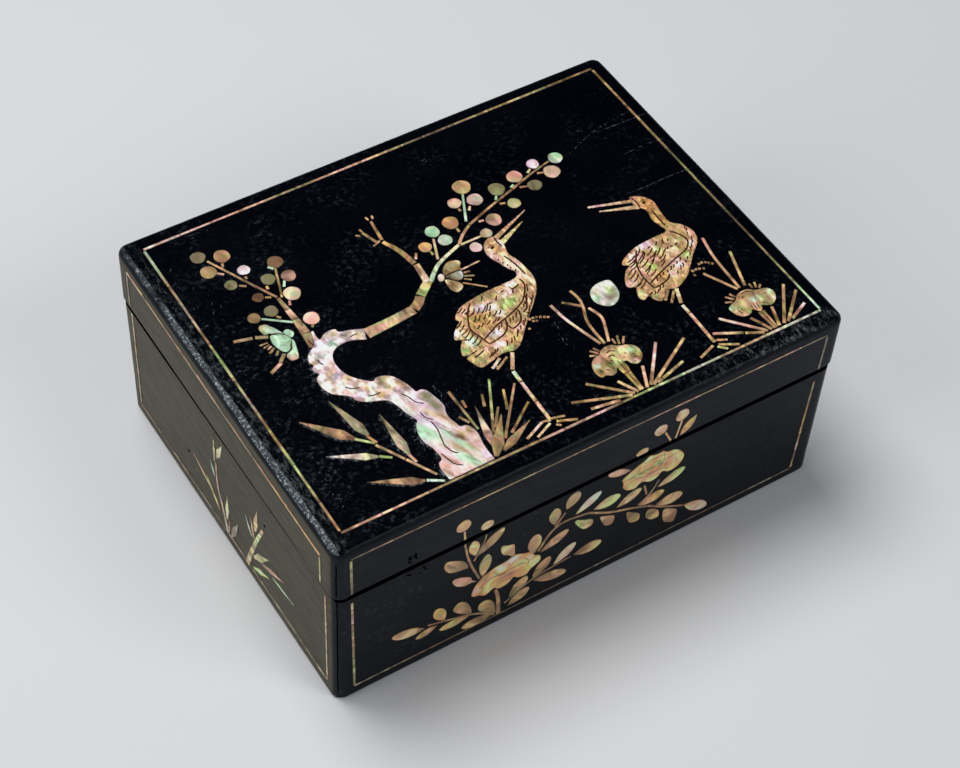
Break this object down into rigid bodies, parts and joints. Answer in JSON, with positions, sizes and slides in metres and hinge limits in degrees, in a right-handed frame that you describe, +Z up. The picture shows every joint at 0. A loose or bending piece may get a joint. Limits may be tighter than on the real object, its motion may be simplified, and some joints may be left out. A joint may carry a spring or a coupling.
{
  "type": "decorative box",
  "caption": "Rectangular black lacquered wooden box with a lift-off lid, inlaid in mother-of-pearl with cranes, a plum tree, irises, bamboo and peonies inside thin border strips.",
  "frame": {"origin": "middle of the underside", "axes": "+X along the long front to the right, +Y from the front to the back, +Z up; the front with the peonies faces -Y"},
  "size_m": [0.2504, 0.1908, 0.1047],
  "materials": {
    "lacquer": "black lacquer over wood, glossy on top and satin on the sides, specked and worn at the edges",
    "nacre": "tan to gold mother-of-pearl, polished flush, with pink and green shimmer",
    "pale_nacre": "white mother-of-pearl with strong pink and green shimmer"
  },
  "bodies": {
    "root": {"box_bottom": "lacquer", "box_front_wall": "lacquer", "box_back_wall": "lacquer", "box_left_wall": "lacquer", "box_right_wall": "lacquer", "lid_top": "lacquer", "lid_front_wall": "lacquer", "lid_back_wall": "lacquer", "lid_left_wall": "lacquer", "lid_right_wall": "lacquer", "top_border_front": "nacre", "top_border_back": "nacre", "top_border_left": "nacre", "top_border_right": "nacre", "front_lid_strip_top": "nacre", "front_lid_strip_left": "nacre", "front_lid_strip_right": "nacre", "front_box_strip_left": "nacre", "front_box_strip_right": "nacre", "front_box_strip_foot": "nacre", "left_lid_strip_top": "nacre", "left_lid_strip_left": "nacre", "left_lid_strip_right": "nacre", "left_box_strip_left": "nacre", "left_box_strip_right": "nacre", "left_box_strip_foot": "nacre", "back_lid_strip_top": "nacre", "back_lid_strip_left": "nacre", "back_lid_strip_right": "nacre", "back_box_strip_left": "nacre", "back_box_strip_right": "nacre", "back_box_strip_foot": "nacre", "right_lid_strip_top": "nacre", "right_lid_strip_left": "nacre", "right_lid_strip_right": "nacre", "right_box_strip_left": "nacre", "right_box_strip_right": "nacre", "right_box_strip_foot": "nacre", "plum_trunk": "pale_nacre", "plum_branch_left": "nacre", "plum_branch_right": "nacre", "left_crane": "nacre", "left_crane_leg": "nacre", "right_crane": "nacre", "right_crane_leg": "nacre", "left_iris": "nacre", "right_iris": "nacre", "pearl": "pale_nacre", "left_plum_blossom": "pale_nacre", "right_plum_blossom": "pale_nacre", "left_peony": "nacre", "right_peony": "nacre"}
  },
  "joints": []
}
